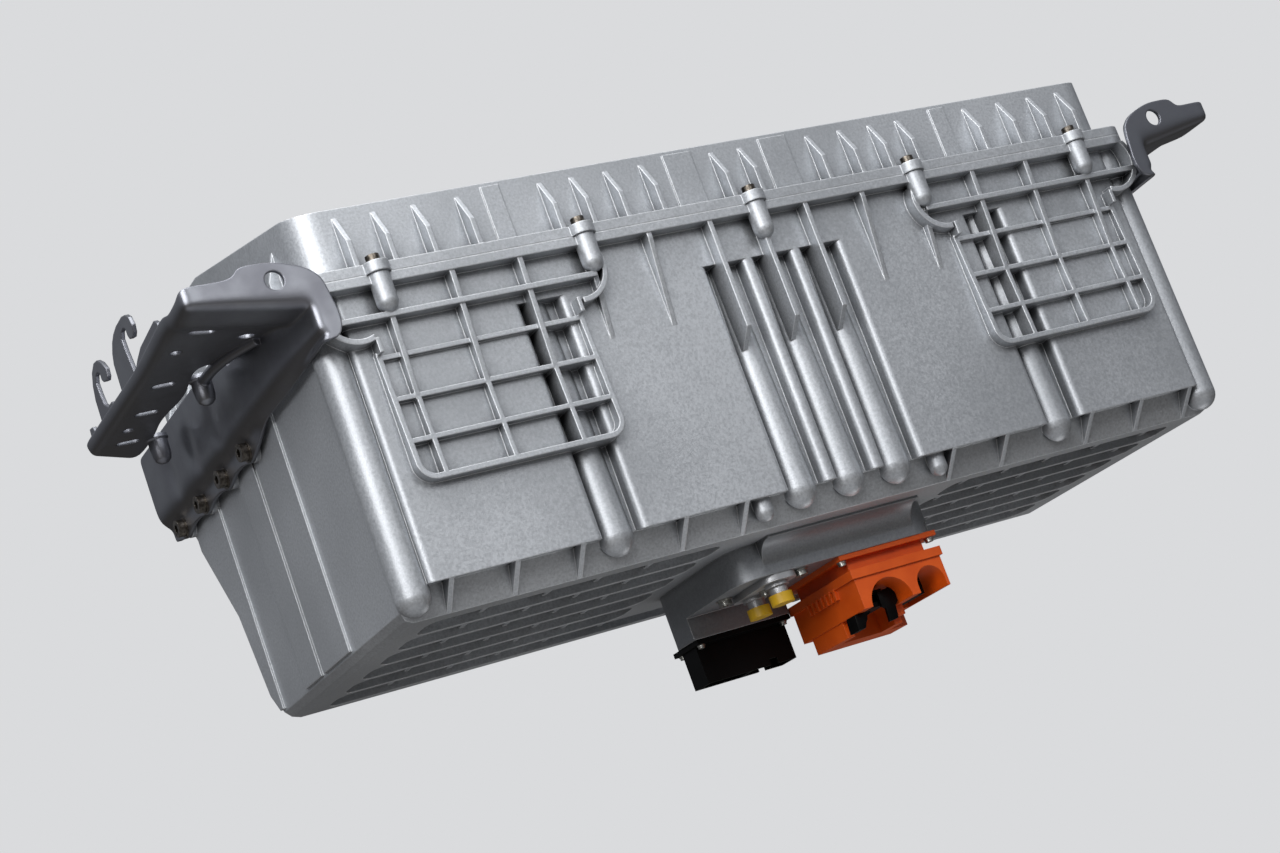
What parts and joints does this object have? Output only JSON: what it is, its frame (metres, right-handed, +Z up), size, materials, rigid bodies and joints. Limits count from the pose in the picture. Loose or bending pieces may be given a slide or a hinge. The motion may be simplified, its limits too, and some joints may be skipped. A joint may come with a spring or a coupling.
{
  "type": "high-voltage battery pack",
  "caption": "ribbed die-cast high-voltage battery box with a bolted sloped lid, black steel side hangers and orange and black plug sockets under its base",
  "frame": {"origin": "midway between the two front mounting holes of the side hangers, in the middle of their sheet thickness", "axes": "+X to the right along the long side, +Y from the ribbed front to the back, +Z up through the lid"},
  "size_m": [0.904, 0.4185, 0.4205],
  "materials": {
    "die_cast_case": "satin die-cast surface, lightly grained",
    "die_cast_block": "satin die-cast surface, darker",
    "machined_aluminium": "fine milled",
    "black_hanger": "black electrocoat with a soft sheen",
    "dark_steel": "dark plated steel",
    "zinc_steel": "bright zinc plate",
    "seal_rubber": "matt moulded rubber",
    "orange_plastic": "satin moulded nylon",
    "black_plastic": "satin moulded nylon",
    "yellow_plastic": "smooth moulded cap",
    "tin_plate": "tin plated contacts",
    "copper_bar": "drawn copper bar",
    "cell_can": "film wrapped can",
    "fuse_ceramic": "glazed ceramic",
    "resistor_enamel": "green enamel"
  },
  "bodies": {
    "root": {"lower_housing": "die_cast_case", "lid": "die_cast_case", "lid_gasket": "seal_rubber", "lid_screws": "dark_steel", "left_bracket": "black_hanger", "right_bracket": "black_hanger", "left_bracket_screws": "dark_steel", "right_bracket_screws": "dark_steel", "connector_housing": "die_cast_block", "connector_housing_gasket": "seal_rubber", "connector_housing_screws": "zinc_steel", "hv_header": "orange_plastic", "hv_contact_blocks": "black_plastic", "hv_contact_pins": "tin_plate", "hv_header_screws": "zinc_steel", "lv_header": "black_plastic", "lv_contact_pins": "tin_plate", "lv_header_screws": "zinc_steel", "port_clamp_plate": "machined_aluminium", "port_clamp_screw": "zinc_steel", "inlet_port": "machined_aluminium", "outlet_port": "machined_aluminium", "inlet_port_cap": "yellow_plastic", "outlet_port_cap": "yellow_plastic", "cooling_plate": "machined_aluminium", "cells_module_1": "cell_can", "cells_module_2": "cell_can", "cells_module_3": "cell_can", "cells_module_4": "cell_can", "module_end_plates": "machined_aluminium", "module_screws": "zinc_steel", "cell_links": "copper_bar", "junction_tray": "black_plastic", "battery_controller": "machined_aluminium", "main_contactors": "black_plastic", "main_fuse": "fuse_ceramic", "current_sensor": "black_plastic", "precharge_resistor": "resistor_enamel", "hv_busbar_plus": "copper_bar", "hv_busbar_minus": "copper_bar", "lv_harness": "seal_rubber"}
  },
  "joints": []
}
